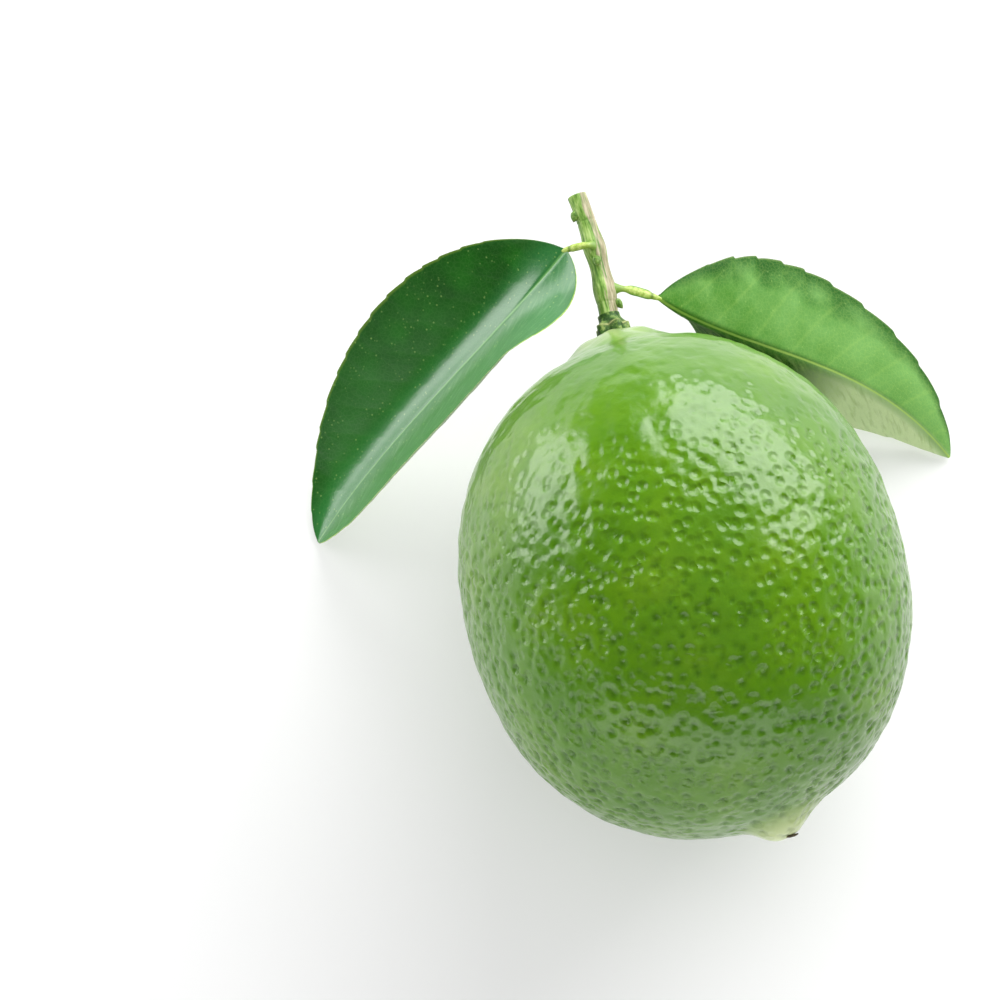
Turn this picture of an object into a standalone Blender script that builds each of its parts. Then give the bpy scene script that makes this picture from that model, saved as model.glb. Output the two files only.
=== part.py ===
"""A lime picked with its twig and two leaves, lying on its side on a table.

The fruit's long axis runs along Y, with the stem end towards +Y. The origin is the
middle of the small spot that the fruit rests on, so the table is the plane z = 0.
Every length is in metres and every angle in degrees.
"""

import math

import bmesh
import bpy
from mathutils import Vector

# Fruit
FRUIT_DIAMETER = 0.054
FRUIT_LENGTH = 0.0618
FRUIT_FULLNESS = 2.15
REST_DEPTH = 0.00035
COLLAR_HEIGHT = 0.0020
COLLAR_SPREAD = 0.0065
COLLAR_FURROWS = 7
COLLAR_FURROW_DEPTH = 0.00035
NIPPLE_HEIGHT = 0.0023
NIPPLE_RADIUS = 0.0036
NIPPLE_OFFSET = 0.0038
NIPPLE_BLUNTNESS = 2.6

# Calyx, the five-lobed button between fruit and twig
CALYX_DIAMETER = 0.0048
CALYX_THICKNESS = 0.0023
CALYX_LOBES = 5
CALYX_LOBE_DEPTH = 0.26
CALYX_HUB_MARGIN = 0.0002

# Twig
TWIG_DIAMETER = 0.0025
TWIG_LENGTH = 0.0160
TWIG_BOW = 0.0005
TWIG_RISE = 0.0010
TWIG_RIDGES = 3
TWIG_RIDGE_HEIGHT = 0.07
NODE_SWELLING = 0.22
NODE_SPREAD = 0.0016

# Leaf stalks and buds
PETIOLE_WIDTH = 0.0011
PETIOLE_FLATNESS = 0.7
PETIOLE_BASE_SWELLING = 0.45
BUD_LENGTH = 0.0014
BUD_DIAMETER = 0.0010
BUD_FOOT_SHARE = 0.6
BUD_LEAN = 25.0
UPPER_BUD_PLACE = 0.0137
UPPER_BUD_ROUND = 25.0

# Leaf blades
BLADE_THICKNESS = 0.00045
BLADE_END_HALF_WIDTH = 0.00045
BLADE_TIP_HALF_WIDTH = 0.0002
BLADE_WIDEST = 0.87
BLADE_FULLNESS = 0.72
TABLE_CLEARANCE = 0.00035

# Gap that touching pieces keep between them
GAP = 0.0003

# Mesh fineness
FRUIT_SEGMENTS = 48
FRUIT_RINGS = 36
POLE_CROWDING = 0.62
TWIG_SEGMENTS = 18
TWIG_RINGS = 22
CALYX_SEGMENTS = 40
PETIOLE_SEGMENTS = 12
PETIOLE_RINGS = 8
BLADE_ROWS = 26
BLADE_COLUMNS = 12

# Places that follow from the sizes above
AXIS_HEIGHT = FRUIT_DIAMETER / 2 - REST_DEPTH
SEAT_RADIUS = CALYX_DIAMETER / 2 + GAP
SEAT_Y = FRUIT_LENGTH / 2 + COLLAR_HEIGHT
CALYX_Y = SEAT_Y + GAP
TWIG_LEAN = 4.0 * TWIG_BOW / TWIG_LENGTH
TWIG_Y = CALYX_Y + CALYX_THICKNESS + GAP + TWIG_DIAMETER / 2 * TWIG_LEAN
RESTING_HEIGHT = TABLE_CLEARANCE + BLADE_THICKNESS / 2
UP = Vector((0.0, 0.0, 1.0))

# Each leaf: where its stalk leaves the twig, how the stalk runs, and how its blade runs.
# side is -1 for left and 1 for right, and node is the distance up the twig from the calyx.
# The stalk starts stalk_round degrees up the twig's side, turns back towards the fruit by
# stalk_turn, and rises by stalk_rise. heading is the blade's direction on the table, counted
# from +X. bends holds the two inner points of its midrib curve, each as a share of the reach
# along, a share of the reach sideways, away from the fruit, and a share of the drop that is left.
# Each wing has its slope above level at midrib and margin, first at the base and then further
# out. opening holds the shares of the length between which the one turns into the other.
LEAVES = {
    "left": {
        "side": -1,
        "node": 0.0088,
        "stalk_round": 80.0,
        "stalk_length": 0.0031,
        "stalk_turn": -8.0,
        "stalk_rise": -29.0,
        "heading": 209.8,
        "length": 0.0524,
        "half_width": 0.0137,
        "bends": ((0.30, -0.032, 0.85), (0.68, 0.054, 0.30)),
        "outer_wing": ((11.0, -9.0), (20.0, 8.0)),
        "inner_wing": ((17.0, 34.0), (51.0, 81.0)),
        "opening": (0.0, 0.27),
    },
    "right": {
        "side": 1,
        "node": 0.0031,
        "stalk_round": 10.0,
        "stalk_length": 0.0046,
        "stalk_turn": 27.0,
        "stalk_rise": -20.0,
        "heading": -33.2,
        "length": 0.0491,
        "half_width": 0.0129,
        "bends": ((0.30, -0.042, 0.766), (0.65, 0.148, 0.483)),
        "outer_wing": ((4.0, -16.0), (1.0, -24.0)),
        "inner_wing": ((-106.0, -124.0), (-46.0, -84.0)),
        "opening": (0.12, 0.62),
    },
}


def clear_scene():
    for obj in list(bpy.data.objects):
        bpy.data.objects.remove(obj)


def make_material(name, colour, roughness):
    material = bpy.data.materials.new(name)
    material.use_nodes = True
    shader = material.node_tree.nodes["Principled BSDF"]
    shader.inputs["Base Color"].default_value = (*colour, 1.0)
    shader.inputs["Roughness"].default_value = roughness
    shader.inputs["Metallic"].default_value = 0.0
    return material


def add_object(name, bm, material, sharp_angle=40.0):
    """Links a finished bmesh as a named object, shaded smooth."""
    bmesh.ops.recalc_face_normals(bm, faces=bm.faces)
    mesh = bpy.data.meshes.new(name)
    bm.to_mesh(mesh)
    bm.free()
    mesh.shade_smooth()
    mesh.set_sharp_from_angle(angle=math.radians(sharp_angle))
    obj = bpy.data.objects.new(name, mesh)
    bpy.context.scene.collection.objects.link(obj)
    obj.data.materials.append(material)
    return obj


def smooth_step(value, low, high):
    """0 below low, 1 above high, and a smooth ramp between."""
    share = min(max((value - low) / (high - low), 0.0), 1.0)
    return share * share * (3.0 - 2.0 * share)


# Fruit


def body_radius(share):
    """Radius of the plain body at a share of its half length, from -1 to 1."""
    return FRUIT_DIAMETER / 2 * (1.0 - abs(share) ** FRUIT_FULLNESS) ** (1.0 / FRUIT_FULLNESS)


def fruit_profile():
    """Half outline from the blossom end to the stem end, as (radius, y), close-set at the ends."""
    points = []
    for ring in range(FRUIT_RINGS + 1):
        turn = ring / FRUIT_RINGS
        angle = math.pi * turn - POLE_CROWDING / 2 * math.sin(math.tau * turn)
        share = -math.cos(angle)
        radius = body_radius(min(abs(share), 1.0))
        y = share * FRUIT_LENGTH / 2
        if y > 0.0:
            collar = 1.0 - smooth_step(radius, SEAT_RADIUS, SEAT_RADIUS + COLLAR_SPREAD)
            y += (SEAT_Y - y) * collar
        points.append((radius, y))
    return points


def furrow_drop(x, z):
    """How far the furrows that spread from the calyx lower the collar at this place."""
    radius = math.hypot(x, z)
    ramp = smooth_step(radius, SEAT_RADIUS, SEAT_RADIUS + COLLAR_SPREAD / 3)
    ramp *= 1.0 - smooth_step(radius, SEAT_RADIUS + COLLAR_SPREAD / 3, SEAT_RADIUS + COLLAR_SPREAD)
    wave = 0.5 - 0.5 * math.cos(COLLAR_FURROWS * math.atan2(z, x))
    return COLLAR_FURROW_DEPTH * ramp * wave


def nipple_rise(x, z):
    """Height of the blunt nipple, which stands beside the long axis."""
    distance = math.hypot(x - NIPPLE_OFFSET, z) / NIPPLE_RADIUS
    return NIPPLE_HEIGHT * math.exp(-(distance**NIPPLE_BLUNTNESS))


def make_fruit(material):
    bm = bmesh.new()
    rim = [bm.verts.new((radius, y, 0.0)) for radius, y in fruit_profile()]
    edges = [bm.edges.new(pair) for pair in zip(rim, rim[1:])]
    bmesh.ops.spin(
        bm,
        geom=rim + edges,
        cent=(0.0, 0.0, 0.0),
        axis=(0.0, 1.0, 0.0),
        angle=math.tau,
        steps=FRUIT_SEGMENTS,
        use_merge=True,
    )
    bmesh.ops.remove_doubles(bm, verts=bm.verts, dist=0.00001)
    for vert in bm.verts:
        x, y, z = vert.co
        if y > 0.0:
            vert.co.y -= furrow_drop(x, z)
        else:
            vert.co.y -= nipple_rise(x, z)
    bmesh.ops.translate(bm, verts=bm.verts, vec=(0.0, 0.0, AXIS_HEIGHT))
    cut = bmesh.ops.bisect_plane(
        bm,
        geom=bm.verts[:] + bm.edges[:] + bm.faces[:],
        plane_co=(0.0, 0.0, 0.0),
        plane_no=(0.0, 0.0, -1.0),
        clear_outer=True,
    )
    cut_edges = [item for item in cut["geom_cut"] if isinstance(item, bmesh.types.BMEdge)]
    bmesh.ops.holes_fill(bm, edges=cut_edges)
    return add_object("fruit", bm, material)


# Swept pieces: calyx, twig, leaf stalks and buds


def sweep(stations, segments):
    """A closed tube through stations, each (centre, direction, side, half width, half height, outline).

    side is the way that the half width points, and outline gives a factor for an angle round it.
    """
    bm = bmesh.new()
    loops = []
    for centre, direction, side, half_width, half_height, outline in stations:
        along = direction.normalized()
        across = (side - along * side.dot(along)).normalized()
        over = along.cross(across)
        ring = bmesh.ops.create_circle(bm, segments=segments, radius=1.0)["verts"]
        for vert in ring:
            angle = math.atan2(vert.co.y, vert.co.x)
            factor = outline(angle) if outline else 1.0
            vert.co = (
                centre
                + across * (half_width * factor * math.cos(angle))
                + over * (half_height * factor * math.sin(angle))
            )
        loops.append({edge for vert in ring for edge in vert.link_edges})
    for lower, upper in zip(loops, loops[1:]):
        bmesh.ops.bridge_loops(bm, edges=list(lower | upper))
    for ends in (loops[0], loops[-1]):
        bmesh.ops.contextual_create(bm, geom=list(ends))
    return bm


def calyx_outline(lobe_share):
    """Five lobes round the calyx, fading to round as lobe_share falls to 0."""
    return lambda angle: 1.0 - lobe_share * CALYX_LOBE_DEPTH * (0.5 - 0.5 * math.cos(CALYX_LOBES * angle))


def make_calyx(material):
    radius = CALYX_DIAMETER / 2
    hub = TWIG_DIAMETER / 2 + CALYX_HUB_MARGIN
    profile = (
        (0.0, radius, 1.0),
        (0.35, radius * 0.96, 1.0),
        (0.62, (radius + hub) / 2, 0.8),
        (0.85, hub * 1.06, 0.2),
        (1.0, hub, 0.0),
    )
    stations = []
    for share, ring_radius, lobe_share in profile:
        centre = Vector((0.0, CALYX_Y + share * CALYX_THICKNESS, AXIS_HEIGHT))
        outline = calyx_outline(lobe_share)
        stations.append((centre, Vector((0, 1, 0)), Vector((1, 0, 0)), ring_radius, ring_radius, outline))
    return add_object("calyx", sweep(stations, CALYX_SEGMENTS), material)


def twig_centre(distance):
    """The twig's centre line: it bows a little to the right and rises towards its cut end."""
    share = distance / TWIG_LENGTH
    bow = TWIG_BOW * 4.0 * share * (1.0 - share)
    return Vector((bow, TWIG_Y + distance, AXIS_HEIGHT + TWIG_RISE * share * share))


def twig_radius(distance):
    """The twig's radius, which swells where each leaf stalk leaves it."""
    swell = 0.0
    for leaf in LEAVES.values():
        swell += NODE_SWELLING * math.exp(-(((distance - leaf["node"]) / NODE_SPREAD) ** 2))
    return TWIG_DIAMETER / 2 * (1.0 + swell)


def twig_outline(angle):
    """A young twig is slightly angular, with ridges that run down its length."""
    return 1.0 - TWIG_RIDGE_HEIGHT * (0.5 - 0.5 * math.cos(TWIG_RIDGES * angle))


def make_twig(material):
    stations = []
    for ring in range(TWIG_RINGS + 1):
        distance = TWIG_LENGTH * ring / TWIG_RINGS
        step = TWIG_LENGTH * 0.01
        direction = twig_centre(distance + step) - twig_centre(distance - step)
        radius = twig_radius(distance)
        stations.append((twig_centre(distance), direction, Vector((1, 0, 0)), radius, radius, twig_outline))
    return add_object("twig", sweep(stations, TWIG_SEGMENTS), material)


def twig_side(side, round_angle):
    """The direction out of the twig on one side, round_angle degrees above level."""
    angle = math.radians(round_angle)
    return Vector((side * math.cos(angle), 0.0, math.sin(angle)))


def stalk_direction(leaf):
    """The way that a leaf stalk leaves the twig."""
    turn = math.radians(leaf["stalk_turn"])
    rise = math.radians(leaf["stalk_rise"])
    level = Vector((leaf["side"] * math.cos(turn), -math.sin(turn), 0.0))
    return (level * math.cos(rise) + UP * math.sin(rise)).normalized()


def stalk_start(leaf):
    """Where the stalk begins: clear of the twig's swollen side, where its slanting foot allows."""
    out = twig_side(leaf["side"], leaf["stalk_round"])
    direction = stalk_direction(leaf)
    half = PETIOLE_WIDTH / 2 * (1.0 + PETIOLE_BASE_SWELLING)
    foot = half * math.sqrt(max(1.0 - direction.dot(out) ** 2, 0.0))
    reach = twig_radius(leaf["node"]) + GAP + foot
    return twig_centre(leaf["node"]) + out * reach


def stalk_end(leaf):
    return stalk_start(leaf) + stalk_direction(leaf) * leaf["stalk_length"]


def make_petiole(name, leaf, material):
    start = stalk_start(leaf)
    direction = stalk_direction(leaf)
    side = Vector((0, 1, 0))
    stations = []
    for ring in range(PETIOLE_RINGS + 1):
        share = ring / PETIOLE_RINGS
        swelling = 1.0 + PETIOLE_BASE_SWELLING * (1.0 - smooth_step(share, 0.0, 0.45))
        half = PETIOLE_WIDTH / 2 * swelling
        centre = start + direction * (leaf["stalk_length"] * share)
        stations.append((centre, direction, side, half, half * PETIOLE_FLATNESS, None))
    return add_object(name, sweep(stations, PETIOLE_SEGMENTS), material)


def make_bud(name, distance, side, round_angle, material):
    """A pointed bud on the twig's side. The twig grew towards the fruit, and so does the bud."""
    lean = math.radians(BUD_LEAN)
    out = twig_side(side, round_angle)
    direction = out * math.sin(lean) - Vector((0, 1, 0)) * math.cos(lean)
    reach = twig_radius(distance) + GAP + BUD_DIAMETER / 2 * BUD_FOOT_SHARE
    start = twig_centre(distance) + out * reach
    profile = ((0.0, BUD_FOOT_SHARE), (0.2, 0.95), (0.4, 1.0), (0.65, 0.75), (0.85, 0.4), (1.0, 0.12))
    stations = []
    for share, width in profile:
        half = BUD_DIAMETER / 2 * width
        centre = start + direction * (BUD_LENGTH * share)
        stations.append((centre, direction, UP, half, half, None))
    return add_object(name, sweep(stations, PETIOLE_SEGMENTS), material)


# Leaf blades


def blade_curve(leaf):
    """The four points of the midrib's Bezier curve, from the stalk down to the table.

    The blade's foot is turned from the stalk's end, so it starts further off by what its corner
    reaches back.
    """
    turned = math.radians(leaf["heading"]) - math.atan2(stalk_direction(leaf).y, stalk_direction(leaf).x)
    corner = BLADE_END_HALF_WIDTH * abs(math.sin(turned))
    start = stalk_end(leaf) + stalk_direction(leaf) * (GAP + corner)
    drop = start.z - RESTING_HEIGHT
    reach = math.sqrt(leaf["length"] ** 2 - drop**2)
    heading = math.radians(leaf["heading"])
    ahead = Vector((math.cos(heading), math.sin(heading), 0.0))
    outward = outward_side(leaf, ahead)
    points = [start]
    for along, sideways, height in leaf["bends"]:
        point = start + ahead * (reach * along) + outward * (reach * sideways)
        point.z = RESTING_HEIGHT + drop * height
        points.append(point)
    tip = start + ahead * reach
    tip.z = RESTING_HEIGHT
    points.append(tip)
    return points


def outward_side(leaf, ahead):
    """The level direction square to ahead, on the side away from the fruit."""
    return UP.cross(ahead) * leaf["side"]


def curve_point(points, share):
    """Place and direction on a cubic Bezier curve."""
    a, b, c, d = points
    rest = 1.0 - share
    place = a * rest**3 + b * (3 * rest * rest * share) + c * (3 * rest * share * share) + d * share**3
    slope = (b - a) * rest * rest + (c - b) * (2 * rest * share) + (d - c) * share * share
    return place, slope.normalized()


def half_width(leaf, share):
    """Half width of the blade at a share of its length."""
    bulge = math.sin(math.pi * min(max(share, 0.0), 1.0) ** BLADE_WIDEST)
    end = BLADE_END_HALF_WIDTH * (1.0 - share) + BLADE_TIP_HALF_WIDTH * share
    return max(leaf["half_width"] * max(bulge, 0.0) ** BLADE_FULLNESS, end)


def wing_offset(distance, width, first_angle, last_angle):
    """(across, rise) of a point on a wing whose slope turns evenly from midrib to margin."""
    first = math.radians(first_angle)
    turn = math.radians(last_angle - first_angle) / width
    if abs(turn * width) < 0.01:
        return distance * math.cos(first), distance * math.sin(first)
    last = first + turn * distance
    return (math.sin(last) - math.sin(first)) / turn, (math.cos(first) - math.cos(last)) / turn


def blade_point(leaf, curve, share, position):
    """A point on the blade's middle surface. position runs from -1, next to the fruit, to 1.

    A margin that would reach below the table lies on it instead.
    """
    place, along = curve_point(curve, share)
    level = Vector((along.x, along.y, 0.0)).normalized()
    outward = outward_side(leaf, level)
    normal = (UP - along * UP.dot(along)).normalized()
    width = half_width(leaf, share)
    at_base, beyond = leaf["outer_wing"] if position > 0 else leaf["inner_wing"]
    opened = smooth_step(share, *leaf["opening"])
    first, last = (a + (b - a) * opened for a, b in zip(at_base, beyond))
    across, rise = wing_offset(abs(position) * width, width, first, last)
    point = place + outward * (math.copysign(1.0, position) * across) + normal * rise
    point.z = max(point.z, RESTING_HEIGHT)
    return point


def make_blade(name, leaf, material):
    bm = bmesh.new()
    grid = bmesh.ops.create_grid(bm, x_segments=BLADE_ROWS, y_segments=BLADE_COLUMNS, size=1.0)
    curve = blade_curve(leaf)
    for vert in grid["verts"]:
        share = (vert.co.x + 1.0) / 2.0
        vert.co = blade_point(leaf, curve, share, vert.co.y)
    blade = add_object(name, bm, material)
    wall = blade.modifiers.new("thickness", "SOLIDIFY")
    wall.thickness = BLADE_THICKNESS
    wall.offset = 0.0
    return blade


def build():
    clear_scene()
    rind = make_material("lime_rind", (0.07, 0.26, 0.01), 0.32)
    button = make_material("calyx_green", (0.08, 0.16, 0.02), 0.6)
    bark = make_material("young_bark", (0.24, 0.33, 0.12), 0.6)
    stalk = make_material("leaf_stalk", (0.25, 0.42, 0.08), 0.5)
    leaf_green = make_material("leaf_blade", (0.02, 0.13, 0.02), 0.35)
    bud_green = make_material("bud_green", (0.12, 0.24, 0.04), 0.6)
    make_fruit(rind)
    make_calyx(button)
    make_twig(bark)
    for side, leaf in LEAVES.items():
        make_petiole(side + "_petiole", leaf, stalk)
        make_blade(side + "_leaf_blade", leaf, leaf_green)
        axil = leaf["node"] - PETIOLE_WIDTH / 2 * (1.0 + PETIOLE_BASE_SWELLING) - BUD_DIAMETER / 2 - GAP
        make_bud(side + "_bud", axil, leaf["side"], leaf["stalk_round"], bud_green)
    make_bud("upper_bud", UPPER_BUD_PLACE, -1, UPPER_BUD_ROUND, bud_green)


build()
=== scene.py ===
# %% [markdown]
# # A lime picked with its twig and two leaves
#
# The real thing grew in one go: the fruit, the five-lobed calyx that holds it, a green twig, two
# leaf stalks, two leaf blades and three small buds. The frame's plain solids already hold the place
# and size of each. Every one of them is made again here, in the same place, with the fine surface
# that a plain solid lacks: pits in the rind, veins and teeth in the leaves, ridges in the bark.

# %% Load the frame
import math
import random

import bmesh
import bpy
from mathutils import Matrix, Vector, kdtree, noise


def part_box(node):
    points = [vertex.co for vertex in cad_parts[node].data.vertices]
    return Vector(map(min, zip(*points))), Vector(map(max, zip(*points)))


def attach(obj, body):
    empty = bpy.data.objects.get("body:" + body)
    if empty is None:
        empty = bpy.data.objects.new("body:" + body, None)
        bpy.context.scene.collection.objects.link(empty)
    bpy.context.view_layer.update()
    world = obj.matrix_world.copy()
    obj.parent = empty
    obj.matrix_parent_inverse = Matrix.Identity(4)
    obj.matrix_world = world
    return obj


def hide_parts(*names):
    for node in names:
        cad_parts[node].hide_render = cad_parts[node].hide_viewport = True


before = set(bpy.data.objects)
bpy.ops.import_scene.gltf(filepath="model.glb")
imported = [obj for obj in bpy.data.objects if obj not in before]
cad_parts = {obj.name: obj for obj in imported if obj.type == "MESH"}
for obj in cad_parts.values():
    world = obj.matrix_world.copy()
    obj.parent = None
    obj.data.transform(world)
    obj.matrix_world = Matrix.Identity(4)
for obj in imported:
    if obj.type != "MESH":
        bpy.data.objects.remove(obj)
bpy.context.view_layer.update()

MM = 0.001
SIDEWAYS = Vector((1.0, 0.0, 0.0))
STEMWARD = Vector((0.0, 1.0, 0.0))
UP = Vector((0.0, 0.0, 1.0))

# %% [markdown]
# ## Main sizes
#
# The fruit lies on its side, with its long axis along Y and its stem end towards +Y. Its radius and the
# height of its axis are read from the frame's solid. The rest of its outline is a superellipse, a
# circle-like curve whose fullness can be set, with a low collar at the stem end and a blunt nipple
# beside the axis at the other end. The same few numbers shape the frame's solid, so both agree.

# %% Main sizes
fruit_low, fruit_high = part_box("fruit")
FRUIT_RADIUS = (fruit_high.x - fruit_low.x) / 2
AXIS_HEIGHT = fruit_high.z - FRUIT_RADIUS
FRUIT_HALF_LENGTH = 30.9 * MM
FRUIT_FULLNESS = 2.15
SEAT_Y = fruit_high.y
SEAT_RADIUS = 2.7 * MM
COLLAR_SPREAD = 6.5 * MM
COLLAR_FURROWS = 7
COLLAR_FURROW_DEPTH = 0.35 * MM
NIPPLE_HEIGHT = 2.3 * MM
NIPPLE_RADIUS = 3.6 * MM
NIPPLE_OFFSET = 3.8 * MM
NIPPLE_BLUNTNESS = 2.6
CENTRE = Vector((0.0, 0.0, AXIS_HEIGHT))
print("fruit radius", round(FRUIT_RADIUS / MM, 2), "mm, axis", round(AXIS_HEIGHT / MM, 2), "mm up")

# %% [markdown]
# ## Camera
#
# The view looks down on the lime from high up, a little to its left. A long lens keeps the shape
# calm. The camera is set by its direction from the fruit's middle and by how far it looks past that
# middle, to the left and up, because the leaves reach out on those sides.

# %% Camera
VIEW_TURN = math.radians(-14.2)
VIEW_HEIGHT = math.radians(75.0)
VIEW_DISTANCE = 0.3394
LOOK_LEFT = 22.4 * MM
LOOK_UP = 10.4 * MM

camera_back = Vector((
    math.sin(VIEW_TURN) * math.cos(VIEW_HEIGHT),
    -math.cos(VIEW_TURN) * math.cos(VIEW_HEIGHT),
    math.sin(VIEW_HEIGHT),
))
camera_right = Vector((math.cos(VIEW_TURN), math.sin(VIEW_TURN), 0.0))
camera_up = camera_back.cross(camera_right)
camera = bpy.data.objects.new("camera", bpy.data.cameras.new("camera"))
camera.data.lens = 100.0
camera.data.sensor_width = 36.0
camera.data.clip_start = 0.01
camera.data.clip_end = 20.0
spot = CENTRE + camera_back * VIEW_DISTANCE - camera_right * LOOK_LEFT + camera_up * LOOK_UP
camera_turn = Matrix((camera_right, camera_up, camera_back)).transposed().to_4x4()
camera.matrix_world = Matrix.Translation(spot) @ camera_turn
bpy.context.scene.collection.objects.link(camera)
bpy.context.scene.camera = camera
print("camera at", [round(v, 3) for v in spot])

# %% [markdown]
# ## Studio
#
# A waxy fruit shows its form by what it mirrors. So the room is three large soft panels over a pale
# floor: one behind on the right for the big highlight, one behind on the left, and a wide, dimmer one in
# front. A last panel hangs overhead and lifts the shadows. It is hidden from mirror images, since a
# bright ceiling would veil the green. Each panel's power follows from its brightness and its area.

# %% Panels
def add_panel(name, turn, height, distance, width, tall, brightness):
    """A soft panel turn degrees clockwise from +Y and height degrees up, facing the fruit."""
    a = math.radians(turn)
    e = math.radians(height)
    away = Vector((math.sin(a) * math.cos(e), math.cos(a) * math.cos(e), math.sin(e)))
    light = bpy.data.lights.new(name, "AREA")
    light.shape = "RECTANGLE"
    light.size = width
    light.size_y = tall
    light.energy = brightness * math.pi * width * tall
    panel = bpy.data.objects.new(name, light)
    facing = away.to_track_quat("Z", "Y").to_matrix().to_4x4()
    panel.matrix_world = Matrix.Translation(CENTRE + away * distance) @ facing
    bpy.context.scene.collection.objects.link(panel)
    print(name, round(light.energy, 1), "W")
    return panel


add_panel("key_panel", turn=42.0, height=29.0, distance=0.60, width=0.72, tall=0.46, brightness=6.6)
add_panel("left_panel", turn=-48.0, height=12.0, distance=0.60, width=0.42, tall=0.34, brightness=5.4)
add_panel("front_panel", turn=-162.0, height=12.0, distance=0.90, width=1.80, tall=0.46, brightness=1.9)
overhead_panel = add_panel(
    "overhead_panel", turn=180.0, height=86.0, distance=0.90, width=1.20, tall=1.20, brightness=1.15)
overhead_panel.visible_glossy = False

# %% [markdown]
# ## Colours and nodes
#
# Colours are written as the hex values that a paint program shows, and one function turns them into
# the linear values that light needs. The sky and every finish are small trees of nodes, and one
# function adds a node and feeds its inputs. Where a whole node feeds an input, its first output in
# use does.

# %% Colours and nodes
def colour(value):
    """A hex value such as #5a960c as linear red, green, blue and alpha. Others stay as they are."""
    if not isinstance(value, str):
        return value
    shades = [int(value[i:i + 2], 16) / 255 for i in (1, 3, 5)]
    return (*[s / 12.92 if s <= 0.04045 else ((s + 0.055) / 1.055) ** 2.4 for s in shades], 1.0)


def grey(value):
    return (value, value, value, 1.0)


def set_inputs(node, inputs):
    """Gives inputs, by name or number, a value or colour, or the node or socket that feeds them."""
    for name, value in inputs.items():
        if isinstance(value, bpy.types.Node):
            value = next(socket for socket in value.outputs if socket.enabled)
        if isinstance(value, bpy.types.NodeSocket):
            node.id_data.links.new(value, node.inputs[name])
        else:
            node.inputs[name].default_value = colour(value)


def add_node(tree, kind, settings=None, inputs=None, stops=()):
    """Adds a shader node. The stops of a colour ramp are places from 0 to 1, each with its colour."""
    node = tree.nodes.new("ShaderNode" + kind)
    for name, value in (settings or {}).items():
        setattr(node, name, value)
    set_inputs(node, inputs or {})
    for number, (place, paint) in enumerate(stops):
        if number == 0:
            node.color_ramp.elements.remove(node.color_ramp.elements[1])
            node.color_ramp.elements[0].position = place
            node.color_ramp.elements[0].color = colour(paint)
        else:
            node.color_ramp.elements.new(place).color = colour(paint)
    return node


# %% [markdown]
# ## The sky
#
# What no panel fills, the fruit's wax mirrors from the sky. It is pale at the horizon, which brightens
# the rims, and dim overhead, which leaves the middle of the fruit deep green.

# %% Sky
world = bpy.data.worlds.new("studio_sky")
world.use_nodes = True
tree = world.node_tree
tree.nodes.clear()
way = add_node(tree, "TexCoord").outputs["Generated"]
height = add_node(tree, "SeparateXYZ", inputs={0: way}).outputs["Z"]
sky = add_node(tree, "ValToRGB", inputs={0: height}, stops=[
    (0.0, grey(0.55)), (0.25, grey(0.25)), (0.6, grey(0.06)), (1.0, grey(0.03))])
glow = add_node(tree, "Background", inputs={0: sky, 1: 1.0})
add_node(tree, "OutputWorld", inputs={0: glow})
bpy.context.scene.world = world
bpy.context.scene.view_settings.view_transform = "Standard"
print("sky of", len(sky.color_ramp.elements), "greys")

# %% [markdown]
# ## The pale floor
#
# The floor is matt white board: a very rough surface with hardly any gloss, so that it stays quiet
# beneath the fruit. It glows a little by itself, as a sweep lit from behind does, so that it stays pale
# far from the panels and its shadows stay soft.

# %% Floor
FLOOR_SIZE = 6.0
FLOOR_DROP = 0.05 * MM
BOARD_PATCH = 150.0 * MM


def new_material(name, inputs):
    """A material with a Principled shader and its inputs. Returns it, its tree and its shader."""
    material = bpy.data.materials.new(name)
    material.use_nodes = True
    shader = material.node_tree.nodes["Principled BSDF"]
    set_inputs(shader, inputs)
    return material, material.node_tree, shader


matt_board, tree, shader = new_material("matt_white_board", {
    "Roughness": 0.9, "IOR": 1.3, "Emission Color": grey(1.0), "Emission Strength": 0.3})
# The pattern runs once over the whole board, so its scale is the number of patches along one side.
board_patches = add_node(tree, "TexNoise", inputs={"Scale": FLOOR_SIZE / BOARD_PATCH, "Detail": 2.0})
board_tone = add_node(tree, "MapRange", inputs={0: board_patches, 3: 0.60, 4: 0.63})
set_inputs(shader, {"Base Color": board_tone})

bm = bmesh.new()
bmesh.ops.create_grid(bm, x_segments=1, y_segments=1, size=FLOOR_SIZE / 2)
bmesh.ops.translate(bm, verts=bm.verts, vec=(0.0, 0.0, -FLOOR_DROP))
floor_mesh = bpy.data.meshes.new("floor")
bm.to_mesh(floor_mesh)
bm.free()
floor = bpy.data.objects.new("floor", floor_mesh)
floor.data.materials.append(matt_board)
bpy.context.scene.collection.objects.link(floor)
print("floor", FLOOR_SIZE, "m wide")

# %% [markdown]
# ## Helpers for the shapes
#
# Every piece ends the same way: doubled points merged, faces turned outwards, smooth shading with
# creases kept, the frame's node hidden and the piece set to ride on its body. Another helper wraps
# a flat grid into a closed tube: a twig, a stalk, a bud and even a leaf blade are all tubes, if the
# blade is seen as a very flat one. The rest are a smooth ramp, a smooth hill and a way to square one
# direction to another.

# %% Curves and directions
def smooth_step(value, low, high):
    """0 below low, 1 above high, and a smooth ramp between."""
    share = min(max((value - low) / (high - low), 0.0), 1.0)
    return share * share * (3.0 - 2.0 * share)


def hill(value, middle, width):
    """1 at the middle, and close to 0 from two widths away."""
    return math.exp(-(((value - middle) / width) ** 2))


def mix(a, b, share):
    return a + (b - a) * share


def squared(direction, ahead):
    """A direction turned until it stands square to the way ahead."""
    return (direction - ahead * direction.dot(ahead)).normalized()


# %% Finishing a piece and wrapping a tube
MERGE_DISTANCE = 0.002 * MM


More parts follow.
